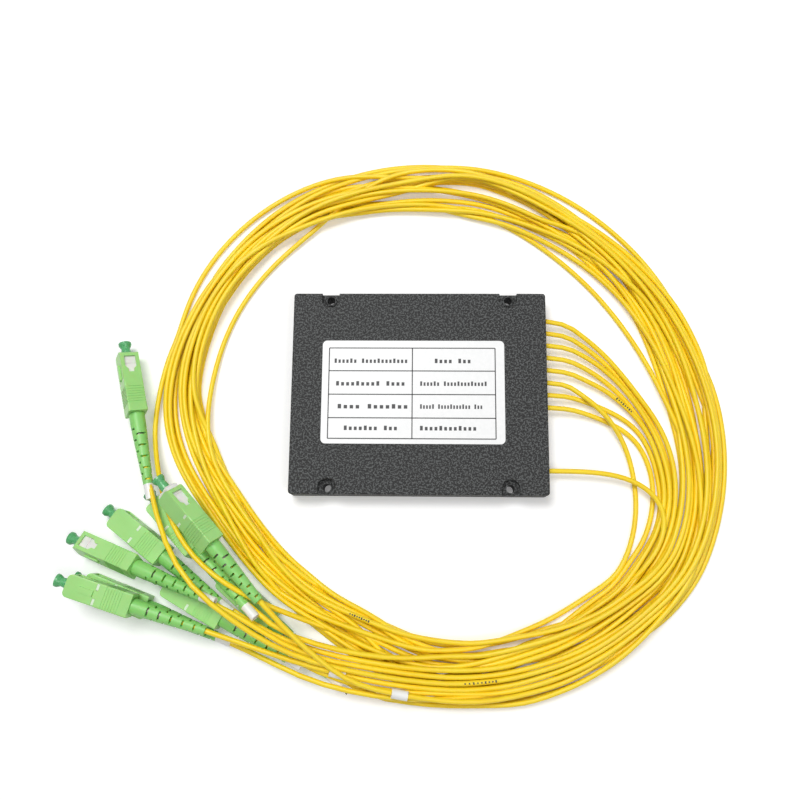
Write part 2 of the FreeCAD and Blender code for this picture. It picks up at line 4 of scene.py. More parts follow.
import bmesh
import bpy
import numpy as np
from mathutils import Euler, Matrix, Vector


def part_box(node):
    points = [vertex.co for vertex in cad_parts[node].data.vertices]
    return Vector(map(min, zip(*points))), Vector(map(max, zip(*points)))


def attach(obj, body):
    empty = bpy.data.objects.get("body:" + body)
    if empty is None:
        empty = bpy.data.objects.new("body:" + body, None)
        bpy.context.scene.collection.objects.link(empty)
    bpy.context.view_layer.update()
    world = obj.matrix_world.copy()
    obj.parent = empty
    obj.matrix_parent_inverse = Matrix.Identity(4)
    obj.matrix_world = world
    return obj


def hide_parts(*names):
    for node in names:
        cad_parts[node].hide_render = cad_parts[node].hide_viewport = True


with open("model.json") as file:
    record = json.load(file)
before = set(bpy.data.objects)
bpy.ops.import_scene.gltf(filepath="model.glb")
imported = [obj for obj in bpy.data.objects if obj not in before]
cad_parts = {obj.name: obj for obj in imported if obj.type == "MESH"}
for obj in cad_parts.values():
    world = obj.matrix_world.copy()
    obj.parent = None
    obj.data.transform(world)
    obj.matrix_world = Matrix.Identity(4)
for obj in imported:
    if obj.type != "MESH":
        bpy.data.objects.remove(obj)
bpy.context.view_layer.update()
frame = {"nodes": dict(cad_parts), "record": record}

scene = bpy.context.scene
collection = scene.collection
nodes = frame["nodes"]

MM = 0.001

# ---------------------------------------------------------------------------------------------
# Sizes and routes that the source of the solids has too, in millimetres.

cord_diameter = 2.0
outlet_height = 5.0
output_count = 8
first_outlet_y = 30.3
outlet_pitch = 5.05
outlet_y = {str(i + 1): first_outlet_y - outlet_pitch * i for i in range(output_count)}
outlet_y["in"] = -30.1
cord_start_x = 43.0
lead_start_x = 56.5
tail_straight_end = 64.0
tail_start = 36.0
lid_top = 10.0

# connector: front point, heading, pitch, roll, how far the grip is pulled back
connectors = {
    "a": ((-117.5, 15.5, 5.8), -75.0, 6.0, 60.0, 0.0),
    "b": ((-94.1, -39.1, 20.0), -48.0, 0.0, 223.0, 2.0),
    "c": ((-101.4, -43.5, 6.4), -45.0, 9.6, 180.0, 0.0),
    "d": ((-117.5, -49.0, 4.4), -36.0, 7.6, 180.0, 0.0),
    "e": ((-129.5, -59.0, 7.1), -21.0, 10.5, 70.0, 0.0),
    "f": ((-130.5, -74.5, 12.9), -17.5, -1.0, 0.0, 0.0),
    "g": ((-127.0, -74.0, 4.5), -21.0, -1.0, 180.0, 0.0),
    "h": ((-96.0, -74.5, 4.2), -29.0, 3.0, 180.0, 0.0),
    "i": ((-74.5, -71.5, 4.4), -40.5, 0.0, 180.0, 0.0),
}
connector_of_cord = {"1": "g", "2": "i", "3": "f", "4": "h", "5": "a", "6": "c", "7": "e",
                     "8": "d", "in": "b"}

lead_routes = {
    "1": [(66.0, 23.4, 4.5), (74.0, 16.2, 4.0), (81.0, 7.8, 3.5), (87.2, -0.8, 3.2),
          (93.0, -9.5, 3.1), (97.2, -19.0, 3.1), (99.3, -29.0, 3.1), (99.4, -39.0, 3.1),
          (97.7, -49.2, 3.1), (94.0, -58.8, 3.1), (88.0, -68.2, 3.1)],
    "2": [(66.0, 19.6, 4.0), (74.0, 13.4, 2.6), (81.0, 6.2, 1.4), (86.6, -1.4, 1.1),
          (91.6, -10.0, 1.1), (95.6, -19.4, 1.1), (98.0, -29.2, 1.1), (98.3, -39.0, 1.1),
          (97.2, -48.9, 1.1), (93.4, -58.5, 1.1), (87.3, -67.9, 1.1)],
    "3": [(66.0, 15.6, 4.7), (74.0, 10.0, 4.1), (81.0, 3.0, 3.4), (86.6, -4.6, 3.1),
          (91.2, -12.8, 3.1), (94.6, -21.2, 3.1), (96.7, -30.2, 3.1), (97.2, -39.2, 3.1),
          (95.5, -48.5, 3.1), (91.9, -57.8, 3.1), (86.1, -66.7, 3.1)],
    "4": [(66.0, 11.0, 3.9), (74.0, 5.9, 2.6), (81.0, -0.4, 1.4), (86.3, -7.2, 1.1),
          (90.4, -14.6, 1.1), (93.4, -22.4, 1.1), (95.4, -31.0, 1.1), (96.0, -39.6, 1.1),
          (95.1, -48.6, 1.1), (91.4, -57.5, 1.1), (85.6, -66.4, 1.1)],
    "5": [(66.0, 6.0, 4.2), (74.0, 1.9, 3.6), (81.0, -3.8, 3.2), (86.4, -9.6, 3.1),
          (90.2, -16.0, 3.1), (92.8, -23.4, 3.1), (94.6, -31.4, 3.1), (95.1, -39.8, 3.1),
          (93.4, -48.2, 3.1), (89.8, -56.6, 3.1), (84.2, -65.0, 3.1)],
    "6": [(63.0, 0.4, 6.2), (69.5, -4.8, 6.5), (75.5, -11.2, 5.4), (80.2, -18.6, 2.6),
          (83.0, -26.6, 1.2), (84.3, -35.4, 1.1), (84.4, -44.4, 1.1), (83.0, -53.6, 1.1),
          (80.0, -62.4, 1.1), (75.2, -70.4, 1.1)],
    "7": [(66.0, -2.6, 3.4), (74.5, -5.8, 2.4), (81.6, -9.5, 1.3), (87.0, -14.6, 1.1),
          (90.4, -21.0, 1.1), (92.4, -27.4, 1.1), (93.5, -34.4, 1.1), (93.9, -41.6, 1.1),
          (92.8, -49.2, 1.1), (89.3, -56.8, 1.1), (83.8, -64.8, 1.1)],
    "8": [(66.0, -7.3, 3.4), (74.0, -10.3, 2.3), (80.8, -13.6, 1.4), (86.0, -18.6, 1.1),
          (89.0, -24.6, 1.1), (90.8, -31.0, 1.1), (91.2, -37.6, 1.1), (90.6, -44.2, 1.1),
          (88.9, -51.0, 1.1), (85.8, -58.0, 1.1), (80.8, -64.8, 1.1)],
    "in": [(66.0, -30.4, 5.3), (75.5, -31.5, 5.3), (84.0, -34.3, 5.3), (90.2, -38.9, 5.3),
           (93.6, -45.0, 5.2), (93.8, -51.6, 5.1), (91.6, -58.2, 5.1), (87.2, -64.8, 4.9)],
}

# From behind each connector to the coil; the last points lie higher than the tubes, on the turns.
tail_routes = {
    "a": [(-86.0, -72.0, 23.0), (-63.0, -89.7, 19.8), (-43.5, -100.3, 13.5),
          (-17.0, -106.4, 9.6), (9.0, -109.5, 7.4)],
    "b": [(-33.0, -103.0, 14.0), (-20.0, -110.6, 10.6), (7.0, -115.2, 8.4), (26.0, -115.6, 7.4)],
    "c": [(-33.0, -97.0, 10.5), (-8.0, -100.8, 7.4)],
    "d": [(-41.0, -97.5, 9.0), (-15.0, -102.5, 8.0), (6.0, -104.6, 7.2)],
    "e": [(-44.5, -99.0, 11.0), (-17.0, -104.2, 8.0), (9.0, -107.2, 7.2)],
    "f": [(-43.0, -102.5, 10.5), (-16.0, -109.0, 8.0), (10.0, -111.7, 7.4)],
    "g": [(-39.0, -109.5, 8.0), (-11.0, -114.8, 7.0), (12.0, -114.9, 6.4)],
    "h": [(-12.0, -112.5, 7.2), (10.0, -112.6, 6.6)],
    "i": [(2.5, -117.5, 2.6), (21.0, -117.4, 3.4)],
}

stray_route = [(-101.8, 14.0, 2.2), (-104.4, 0.5, 2.2), (-105.4, -14.0, 2.6), (-102.6, -27.5, 6.0),
               (-98.0, -40.0, 11.4), (-92.0, -53.0, 14.8), (-82.5, -65.0, 17.4),
               (-69.5, -74.5, 18.4), (-55.5, -81.5, 14.5), (-41.0, -87.5, 6.5), (-26.5, -93.0, 2.4)]

coil_outer = [(2.0, 101.5), (34.0, 97.5), (64.0, 86.0), (91.5, 62.0), (112.0, 29.0), (121.5, -6.0),
              (121.5, -30.0), (115.5, -57.0), (101.0, -84.0), (77.0, -105.0), (50.0, -117.0),
              (26.0, -120.5), (5.0, -119.5), (-9.0, -115.0), (-20.0, -106.0), (-34.0, -95.5),
              (-60.5, -77.5), (-79.0, -55.0), (-96.0, -36.0), (-107.0, -18.0), (-107.5, 3.0),
              (-102.5, 24.0), (-91.5, 53.0), (-69.5, 79.0), (-34.0, 96.5)]
coil_inner = [(0.0, 78.0), (33.0, 72.0), (61.0, 53.5), (82.0, 28.5), (96.5, -2.0), (101.5, -22.0),
              (101.0, -41.0), (96.5, -57.0), (87.0, -67.5), (73.0, -74.5), (57.0, -84.5),
              (42.0, -91.5), (27.0, -93.5), (8.0, -92.5), (-14.0, -85.5), (-41.0, -70.0),
              (-65.0, -45.5), (-81.5, -14.0), (-84.0, 6.0), (-79.5, 26.5), (-71.0, 43.0),
              (-53.0, 62.5), (-29.0, 75.5)]
coil_centre = (3.0, -9.0)


# ---------------------------------------------------------------------------------------------
# The coil. Every cord runs twice round it; the stations are spokes of the ring, 6 degrees apart,
# and the strands that cross a spoke are pushed apart on it. At some crossings, where there is too
# little room or between two spokes, strands still lie partly in one another.

stations = 60
strand_gap = 2.06
cords = ["1", "2", "3", "4", "5", "6", "7", "8", "in"]
first_station = {"1": 6, "2": 6, "3": 6, "4": 6, "5": 6, "6": 7, "7": 6, "8": 6, "in": 6}
last_station = {"1": 132, "2": 132, "3": 133, "4": 133, "5": 133, "6": 134, "7": 133, "8": 133,
                "in": 131}
stray_stations = (78, 92)       # of the input's cord, which leaves the ring there
entry_station = 6               # turns are counted from here
sorted_from = 16                # the station from which the strands share the ring's width
leave_turn, leave_length = 1.85, 0.26   # where the strands start to leave, and over how far
upper_spoke, upper_place = 48, 0.42     # which of the two bundles at the top a strand is in
lowest_centre = 1.03            # of a strand that lies on the floor

# How the strands settle.
settle_steps = 600
late_share = 0.8                # of the steps, after which they are moved more gently
largest_move = 0.5

# Each cord wanders across the ring and back: where it starts, and how often it crosses in a turn.
wander_start = [0.10, 1.55, 0.62, 1.30, 0.35, 0.05, 1.80, 0.85, 1.10]
wander_rate = [1.90, 1.40, 2.30, 1.70, 1.20, 2.10, 1.60, 2.50, 1.40]
enter_place = [0.27, 0.27, 0.19, 0.19, 0.10, -0.06, 0.10, 0.02, 0.13]
leave_place = [0.82, 0.97, 0.68, 0.76, 0.58, 0.22, 0.50, 0.38, 0.90]

# Strands that lie apart from the rest: cord, first and last station, place across the ring.
apart = [("1", 84, 88, 0.14), ("1", 92, 100, -0.12), ("8", 100, 107, 0.04),
         ("8", 111, 119, -0.07), ("in", 95, 101, 0.98), ("3", 59, 65, 0.97), ("7", 68, 74, 0.95)]


def ease(x):
    x = np.clip(x, 0.0, 1.0)
    return x * x * (3.0 - 2.0 * x)


def between(index, start, end, soft):
    """1 from one station to another, easing to 0 outside them."""
    return ease((index - start + soft) / soft) * ease((end - index + soft) / soft)


def edge_radii(outline, angles):
    """Distance of a closed outline from the coil's centre at each spoke."""
    points = np.array(outline) - coil_centre
    radii = np.interp(np.degrees(angles), np.degrees(np.arctan2(points[:, 1], points[:, 0])),
                      np.hypot(points[:, 0], points[:, 1]), period=360)
    for _ in range(2):
        radii = 0.5 * radii + 0.25 * (np.roll(radii, 1) + np.roll(radii, -1))
    return radii


def settle_coil():
    """Points of every cord's turns, in order from its entry into the ring."""
    spokes = np.arange(stations)
    angles = -np.radians(spokes * 360.0 / stations)
    inner = edge_radii(coil_inner, angles) - 3.2 * between(spokes, 7, 11, 2)
    outer = edge_radii(coil_outer, angles) - 0.6 + 1.2 * between(spokes, 20, 24, 3)
    middle = (inner + outer) / 2
    half = (outer - inner) / 2 - 1.0

    index, strand, ranges = [], [], {}
    for number, cord in enumerate(cords):
        run = list(range(first_station[cord], last_station[cord] + 1))
        ranges[cord] = (len(index), len(index) + len(run))
        index += run
        strand += [number] * len(run)
    index, strand = np.array(index), np.array(strand)
    spoke = index % stations
    turns = (index - entry_station) / stations

    # Across the ring and back, going out above and coming in below.
    swing = (np.array(wander_start)[strand] + np.array(wander_rate)[strand] * turns
             + 0.10 * np.sin(2 * np.pi * (turns * 2.3 + strand * 0.31))) % 2.0
    across = np.where(swing < 1, swing, 2 - swing)
    height = np.where(swing < 1, 0.8, -0.8)

    # The strands that lie apart, and the room that the rest leave them.
    own = np.zeros(len(index))
    own_place = np.zeros(len(index))
    for cord, start, end, place in apart:
        part = between(index, start, end, 4.0) * (strand == cords.index(cord))
        own, own_place = own + part, own_place + part * place
    own = np.minimum(own, 1.0)
    shared = (own < 0.5) & (index >= sorted_from) & (turns < leave_turn)
    for s in range(stations):
        there = shared & (spoke == s)
        low, high = across[there].min(), across[there].max()
        across[there] = (across[there] - low) / (high - low)
    least = np.interp(spoke, (4, 6, 8, 12, 29, 31, 40, 42, 50, 52.5, 55.5, 58.5),
                      (0, 0.2, 0.27, 0, 0, 0.25, 0.25, 0, 0, 0.14, 0.24, 0))
    most = np.interp(spoke, (4, 6, 8, 12.5, 15, 25, 30, 32.5, 34.5, 37.5, 41, 44, 56, 59),
                     (0.81, 0.86, 0.82, 0.77, 0.94, 0.93, 0.80, 0.80, 0.66, 0.65, 0.84, 0.94,
                      0.92, 0.81))
    across = least + (most - least) * across

    # At the top of the ring the strands lie in two bundles with a gap between them.
    split = between(spoke, 46, 49.5, 2.0)
    low_most = np.interp(spoke, (45, 47, 49, 51), (0.58, 0.44, 0.30, 0.28))
    high_least = np.interp(spoke, (45, 47, 49, 51), (0.64, 0.70, 0.59, 0.44))
    for turn in (0, 1):
        for number in range(len(cords)):
            part = (index // stations == turn) & (strand == number)
            at = np.flatnonzero(part & (spoke == upper_spoke))
            if len(at):
                low = across[at[0]] < upper_place
                aim = np.minimum(across, low_most) if low else np.maximum(across, high_least)
                across = np.where(part, across * (1 - split) + aim * split, across)
                least = np.where(part & (split > 0.5) & (not low), high_least, least)
                most = np.where(part & (split > 0.5) & low, low_most, most)

    leave = ease((turns - leave_turn) / leave_length)
    across = across * (1 - leave) + np.array(leave_place)[strand] * leave
    arrive = ease((index - 7) / 9.0)
    across = np.where(index < 40,
                      across * arrive + np.array(enter_place)[strand] * (1 - arrive), across)
    across = across * (1 - own) + own_place

    reach = half[spoke]
    target = (2 * across - 1) * reach
    lowest = np.minimum((2 * least - 1) * reach - 0.8, target)
    highest = np.maximum((2 * most - 1) * reach + 0.8, target)
    u = target.copy()
    z = 0.9 + 1.7 * turns + height + 0.5 * np.cos(strand * 2.4 + turns * 4.3)
    z = np.maximum(z, lowest_centre) + 1.5 * leave

    members = [np.flatnonzero(spoke == s) for s in range(stations)]
    pairs = [(m[a], m[b]) for m in members for a in range(len(m)) for b in range(a + 1, len(m))]
    one, two = np.array(pairs).T
    away = ((strand == cords.index("in")) & (index >= stray_stations[0])
            & (index <= stray_stations[1]))
    kept = ~(away[one] | away[two])
    one, two = one[kept], two[kept]
    before = np.arange(len(index)) - 1
    after = np.arange(len(index)) + 1
    for start, end in ranges.values():
        before[start], after[end - 1] = start, end - 1
    count = len(index)
    for step in range(settle_steps):
        late = step > late_share * settle_steps
        stiffness = 0.06 if late else 0.25
        z -= 0.004 if late else 0.03
        u += stiffness * (0.5 * (u[before] + u[after]) - u)
        z += stiffness * (0.5 * (z[before] + z[after]) - z)
        u += 0.02 * (target - u)
        for _ in range(2):
            du, dz = u[one] - u[two], z[one] - z[two]
            gap = np.hypot(du, dz) + 1e-9
            push = 0.45 * np.clip(strand_gap - gap, 0, None) / gap
            move_u = np.bincount(one, push * du, count) - np.bincount(two, push * du, count)
            move_z = np.bincount(one, push * dz, count) - np.bincount(two, push * dz, count)
            u += np.clip(move_u, -largest_move, largest_move)
            z = np.maximum(z + np.clip(move_z, -largest_move, largest_move), lowest_centre)
            u = np.where(u > highest, highest + (u - highest) * 0.5, u)
            u = np.where(u < lowest, lowest + (u - lowest) * 0.5, u)
    radius = middle[spoke] + u
    x = coil_centre[0] + radius * np.cos(angles[spoke])
    y = coil_centre[1] + radius * np.sin(angles[spoke])
    turns_of = {}
    for cord, (start, end) in ranges.items():
        turns_of[cord] = [(int(index[i]), (float(x[i]), float(y[i]), float(z[i])))
                          for i in range(start, end)]
    return turns_of


# ---------------------------------------------------------------------------------------------
# Materials


class Shader:
    """A small helper that wires one procedural material."""

    def __init__(self, name):
        self.material = bpy.data.materials.new(name)
        self.material.use_nodes = True
        self.tree = self.material.node_tree
        self.bsdf = next(n for n in self.tree.nodes if n.type == "BSDF_PRINCIPLED")
        self.place = self.add("ShaderNodeTexCoord").outputs["Object"]

    def add(self, kind, **settings):
        node = self.tree.nodes.new(kind)
        for key, value in settings.items():
            setattr(node, key, value)
        return node

    def wire(self, a, b):
        self.tree.links.new(a, b)

    def stretched(self, scale):
        mapping = self.add("ShaderNodeMapping")
        mapping.inputs["Scale"].default_value = scale
        self.wire(self.place, mapping.inputs["Vector"])
        return mapping.outputs["Vector"]

    def noise(self, scale, detail=3.0, roughness=0.55, vector=None):
        node = self.add("ShaderNodeTexNoise")
        node.inputs["Scale"].default_value = scale
        node.inputs["Detail"].default_value = detail
        node.inputs["Roughness"].default_value = roughness
        self.wire(vector or self.place, node.inputs["Vector"])
        return node.outputs["Fac"]

    def ramp(self, value, stops):
        node = self.add("ShaderNodeValToRGB")
        elements = node.color_ramp.elements
        while len(elements) < len(stops):
            elements.new(0.5)
        for element, (position, colour) in zip(elements, stops):
            element.position = position
            element.color = (*colour, 1.0)
        self.wire(value, node.inputs["Fac"])
        return node.outputs["Color"]

    def range(self, value, low, high):
        node = self.add("ShaderNodeMapRange")
        node.inputs["To Min"].default_value = low
        node.inputs["To Max"].default_value = high
        self.wire(value, node.inputs["Value"])
        return node.outputs["Result"]

    def bump(self, height, distance, strength=1.0):
        node = self.add("ShaderNodeBump")
        node.inputs["Strength"].default_value = strength
        node.inputs["Distance"].default_value = distance
        self.wire(height, node.inputs["Height"])
        self.wire(node.outputs["Normal"], self.bsdf.inputs["Normal"])


def srgb(*values):
    """Linear colour of an sRGB one given from 0 to 255."""
    out = []
    for v in values:
        c = v / 255.0
        out.append(c / 12.92 if c <= 0.04045 else ((c + 0.055) / 1.055) ** 2.4)
    return tuple(out)


def plastic(name, dark, light, roughness, grain=900.0, patch=90.0, depth=0.00001, **sockets):
    """Moulded plastic: a faint change of tone over the part, a fine grain in gloss and height."""
    shader = Shader(name)
    tone = shader.noise(patch, 3.0)
    shader.wire(shader.ramp(tone, [(0.3, dark), (0.7, light)]), shader.bsdf.inputs["Base Color"])
    fine = shader.noise(grain, 2.0)
    shader.wire(shader.range(fine, roughness - 0.06, roughness + 0.06),
                shader.bsdf.inputs["Roughness"])
    shader.bump(fine, depth)
    for socket, value in sockets.items():
        shader.bsdf.inputs[socket.replace("_", " ")].default_value = value
    return shader


def metal(name, dark, light, roughness, vector_scale):
    shader = Shader(name)
    brushed = shader.noise(700.0, 4.0, vector=shader.stretched(vector_scale))
    shader.wire(shader.ramp(brushed, [(0.3, dark), (0.7, light)]),
                shader.bsdf.inputs["Base Color"])
    shader.wire(shader.range(brushed, roughness - 0.08, roughness + 0.08),
                shader.bsdf.inputs["Roughness"])
    shader.bsdf.inputs["Metallic"].default_value = 1.0
    shader.bump(brushed, 0.00001)
    return shader.material


def case_material():
    """Black moulding with a spark-eroded face, whose high spots are paler."""
    shader = Shader("case_plastic")
    grit = shader.noise(1900.0, 1.0, 0.5)
    pits = shader.noise(1200.0, 1.0, 0.5)
    mix = shader.add("ShaderNodeMath", operation="MULTIPLY_ADD")
    mix.inputs[1].default_value = 0.8
    shader.wire(pits, mix.inputs[0])
    shader.wire(grit, mix.inputs[2])
    height = mix.outputs["Value"]
    shader.wire(shader.ramp(height, [(0.7, srgb(5, 5, 5)), (0.9, srgb(17, 18, 18)),
                                     (1.0, srgb(86, 88, 88))]),
                shader.bsdf.inputs["Base Color"])
    shader.wire(shader.range(grit, 0.5, 0.7), shader.bsdf.inputs["Roughness"])
    shader.bsdf.inputs["Specular IOR Level"].default_value = 0.3
    shader.bump(height, 0.00016, 0.9)
    return shader.material


def jacket_material():
    """Yellow PVC jacket: a little translucent, with faint waviness from the extruder."""
    shader = Shader("cord_jacket")
    slow = shader.noise(55.0, 2.0)
    shader.wire(shader.ramp(slow, [(0.3, srgb(249, 212, 20)), (0.7, srgb(253, 222, 38))]),
                shader.bsdf.inputs["Base Color"])
    fine = shader.noise(1300.0, 3.0)
    shader.wire(shader.range(fine, 0.34, 0.46), shader.bsdf.inputs["Roughness"])
    shader.bump(fine, 0.000012)
    shader.bsdf.inputs["Subsurface Weight"].default_value = 0.12
    shader.bsdf.inputs["Subsurface Radius"].default_value = (0.0012, 0.0005, 0.0001)
    shader.bsdf.inputs["Subsurface Scale"].default_value = 1.0
    return shader.material


def grip_material():
    return plastic("grip_plastic", srgb(154, 213, 122), srgb(167, 222, 134), 0.36, 1100.0, 60.0,
                   0.000012, Subsurface_Weight=0.18, Subsurface_Scale=0.001).material


def boot_material():
    return plastic("boot_elastomer", srgb(132, 204, 104), srgb(146, 214, 118), 0.42, 1000.0, 60.0,
                   0.000012, Subsurface_Weight=0.15, Subsurface_Scale=0.001).material


def cap_material():
    """Clear green cap: light goes through its thin walls."""
    shader = plastic("cap_plastic", srgb(84, 182, 112), srgb(104, 194, 126), 0.28, 700.0, 120.0,
                     0.000008, Transmission_Weight=0.3, IOR=1.49)
    return shader.material


def label_material():
    shader = Shader("label_film")
    paper = shader.noise(600.0, 4.0)
    shader.wire(shader.ramp(paper, [(0.3, srgb(240, 241, 241)), (0.7, srgb(248, 248, 248))]),
                shader.bsdf.inputs["Base Color"])
    shader.wire(shader.range(paper, 0.36, 0.48), shader.bsdf.inputs["Roughness"])
    shader.bump(paper, 0.000006)
    return shader.material


def ink_material(name, dark, light):
    shader = Shader(name)
    speck = shader.noise(2200.0, 2.0)
    shader.wire(shader.ramp(speck, [(0.35, dark), (0.7, light)]), shader.bsdf.inputs["Base Color"])
    shader.wire(shader.range(speck, 0.45, 0.6), shader.bsdf.inputs["Roughness"])
    return shader.material


jacket = jacket_material()
materials = {
    "case_plastic": case_material(),
    "label_film": label_material(),
    "comb_plastic": plastic("comb_plastic", srgb(70, 71, 72), srgb(84, 85, 86), 0.5).material,
    "device_steel": metal("device_steel", (0.50, 0.50, 0.52), (0.68, 0.68, 0.70), 0.3,
                          (0.05, 1.0, 1.0)),
    "inner_fibre": plastic("inner_fibre", srgb(226, 226, 220), srgb(240, 240, 236), 0.3).material,
    "grip_plastic": grip_material(),
    "frame_plastic": plastic("frame_plastic", srgb(226, 224, 220), srgb(242, 240, 236), 0.34,
                             1100.0, 80.0, 0.00001, Subsurface_Weight=0.1,
                             Subsurface_Scale=0.001).material,
    "boot_elastomer": boot_material(),
    "cap_plastic": cap_material(),
    "ferrule_ceramic": plastic("ferrule_ceramic", srgb(236, 236, 232), srgb(248, 248, 246),
                               0.18, 900.0, 120.0, 0.000003).material,
    "spring_steel": metal("spring_steel", (0.45, 0.45, 0.46), (0.64, 0.64, 0.66), 0.28,
                          (1.0, 1.0, 1.0)),
    # The crimp sleeve's dark colour is painted shade: it is darkened so the boot slots it shows
    # through read as shaded, not as its own metal colour.
    "crimp_metal": metal("crimp_metal", (0.12, 0.11, 0.09), (0.22, 0.20, 0.17), 0.4,
                         (0.05, 1.0, 1.0)),
    "tag_plastic": plastic("tag_plastic", srgb(232, 232, 228), srgb(246, 246, 243), 0.38, 900.0,
                           90.0, 0.00001).material,
    "cord_jacket": jacket,
}

for subpart in frame["record"]["subparts"]:
    piece = nodes[subpart["node"]]
    material = materials[subpart["material_slot"]]
    if not piece.material_slots:
        piece.data.materials.append(material)
    for material_slot in piece.material_slots:
        material_slot.material = material


# ---------------------------------------------------------------------------------------------
# Cords


def turned(key):
    """Placement of a connector in metres: its own +X points from the ferrule to the cord."""
    front, heading, pitch, roll, _ = connectors[key]
    return (Matrix.Translation(Vector(front) * MM)
            @ Matrix.Rotation(math.radians(heading), 4, "Z")
            @ Matrix.Rotation(math.radians(-pitch), 4, "Y")
            @ Matrix.Rotation(math.radians(roll), 4, "X"))


def on_axis(key, distance):
    return tuple(turned(key) @ Vector((distance * MM, 0, 0)) / MM)


def cord_points(cord, turns):
    key = connector_of_cord[cord]
    y = outlet_y[cord]
    points = [(cord_start_x, y, outlet_height), (lead_start_x, y, outlet_height)]
    points += lead_routes[cord]
    for number, point in turns:
        if number == first_station[cord]:
            continue
        if cord == "in" and stray_stations[0] <= number <= stray_stations[1]:
            if number == stray_stations[0]:
                points += stray_route[::-1]
            continue
        points.append(point)
    points += tail_routes[key][::-1]
    points += [on_axis(key, tail_straight_end), on_axis(key, tail_start)]
    return points


def make_cord(cord, points):
    curve = bpy.data.curves.new("cord_" + cord, "CURVE")
    curve.dimensions = "3D"
    spline = curve.splines.new("NURBS")
    spline.points.add(len(points) - 1)
    for target, point in zip(spline.points, points):
        target.co = (point[0] * MM, point[1] * MM, point[2] * MM, 1.0)
    spline.order_u = 3
    spline.use_endpoint_u = True
    spline.resolution_u = 3
    curve.bevel_depth = cord_diameter / 2 * MM
    curve.bevel_resolution = 3
    curve.use_fill_caps = True
    curve.materials.append(jacket)
    piece = bpy.data.objects.new("cord_" + cord, curve)
    collection.objects.link(piece)
    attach(piece, "splitter")
    return piece


coil_turns = settle_coil()
routes = {cord: cord_points(cord, coil_turns[cord]) for cord in cords}
for cord in cords:
    make_cord(cord, routes[cord])
    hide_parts("fibre_" + cord)
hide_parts("fibre_coil")


# ---------------------------------------------------------------------------------------------
# Label print, marks and digits


def block(name, corners, matrix, material, body):
    """One object of several thin plates, each given by two opposite corners in millimetres."""
    mesh = bpy.data.meshes.new(name)
    shape = bmesh.new()
    for low, high in corners:
        low, high = Vector(low) * MM, Vector(high) * MM
        made = bmesh.ops.create_cube(shape, size=1.0)["verts"]
        for vertex in made:
            for axis in range(3):
                vertex.co[axis] = low[axis] if vertex.co[axis] < 0 else high[axis]
    bmesh.ops.transform(shape, matrix=matrix, verts=shape.verts)
    shape.to_mesh(mesh)
    shape.free()
    mesh.materials.append(material)
    piece = bpy.data.objects.new(name, mesh)
    collection.objects.link(piece)
    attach(piece, body)
    return piece


tag_radius = 1.8
print_sink, print_rise = 0.02, 0.015
label_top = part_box("spec_label")[1][2] / MM
black_ink = ink_material("label_ink", srgb(14, 14, 15), srgb(30, 30, 32))
white_ink = ink_material("grip_mark_ink", srgb(214, 236, 204), srgb(232, 246, 224))

frame_left, frame_right, frame_top, frame_bottom = -35.3, 29.8, 17.5, -18.5
row_lines = [8.3, -1.1, -10.4]
divider_x = -2.6
line_width = 0.42


def line(x0, x1, y0, y1):
    """One printed rule or dash on the label."""
    return ((x0, y0, label_top - print_sink), (x1, y1, label_top + print_rise))


rules = [line(frame_left, frame_right, y - line_width / 2, y + line_width / 2)
         for y in [frame_top, frame_bottom] + row_lines]
rules += [line(x - line_width / 2, x + line_width / 2, frame_bottom, frame_top)
          for x in (frame_left, frame_right)]
rules.append(line(divider_x - line_width / 2, divider_x + line_width / 2, frame_bottom, frame_top))
block("label_rules", rules, Matrix.Identity(4), black_ink, "splitter")

# Where a label has words, groups of plain dashes stand for them: height on the label, then for
# each cell its first and last x and how many dashes each group has.
label_rows = [(12.3, (-33.2, -4.6, (6, 12)), (6.2, 20.2, (4, 3))),
              (3.2, (-32.4, -5.6, (9, 4)), (0.5, 26.4, (6, 13))),
              (-5.9, (-31.6, -4.4, (4, 7)), (0.5, 24.6, (5, 11, 3))),
              (-14.4, (-29.0, -8.4, (7, 3)), (0.5, 22.2, (12,)))]
dash_drop, dash_rise, tall_dash_rise = 0.85, 0.55, 0.95
dash_share = 0.58               # of the pitch
dashes = []
for row_y, *cells in label_rows:
    for first_x, last_x, groups in cells:
        pitch = (last_x - first_x) / (sum(groups) + len(groups) - 1.4)
        x = first_x
        for group in groups:
            for i in range(group):
                rise = tall_dash_rise if i % 4 == 0 else dash_rise
                dashes.append(line(x, x + dash_share * pitch, row_y - dash_drop, row_y + rise))
                x += pitch
            x += pitch
dash_ink = ink_material("dash_ink", srgb(34, 34, 36), srgb(56, 56, 58))
block("label_dashes", dashes, Matrix.Identity(4), dash_ink, "splitter")

# Plain numbers beside the outlets, moulded in the lid, and a bar beside the input.
port_digits_x = 46.6
digit_height = 2.0


def moulded_digit(text, y):
    """Mesh of one digit on the lid, centred on its outlet."""
    curve = bpy.data.curves.new("digit", "FONT")
    curve.body = text
    curve.size = digit_height * 1.4 * MM
    curve.extrude = 0.03 * MM
    curve.resolution_u = 2
    curve.align_x = curve.align_y = "CENTER"
    holder = bpy.data.objects.new("digit", curve)
    mesh = bpy.data.meshes.new_from_object(holder)
    mesh.transform(Matrix.Translation(Vector((port_digits_x, y, lid_top + 0.02)) * MM))
    bpy.data.objects.remove(holder)
    return mesh


